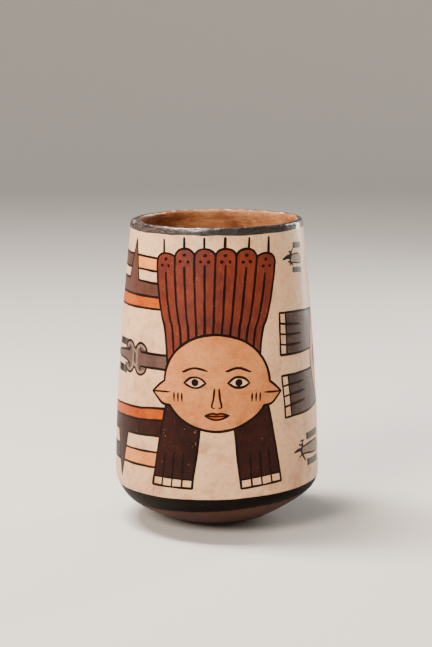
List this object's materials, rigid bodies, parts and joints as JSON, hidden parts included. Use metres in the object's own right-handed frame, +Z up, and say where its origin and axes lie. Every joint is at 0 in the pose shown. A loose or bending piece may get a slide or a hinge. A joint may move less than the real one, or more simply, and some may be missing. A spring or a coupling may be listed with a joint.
{
  "type": "painted pottery beaker",
  "caption": "Tall hollow fired-clay drinking cup that narrows to a rounded lip, on a shallow rounded foot with a small flat spot.",
  "frame": {"origin": "centre of the flat spot that the cup stands on", "axes": "+Z up along the cup's axis, -Y towards the viewer of the painted face, +X to the viewer's right"},
  "size_m": [0.1214, 0.1214, 0.1806],
  "materials": {
    "slip_painted_clay": "burnished matt slip"
  },
  "bodies": {
    "root": {"cup": "slip_painted_clay"}
  },
  "joints": []
}
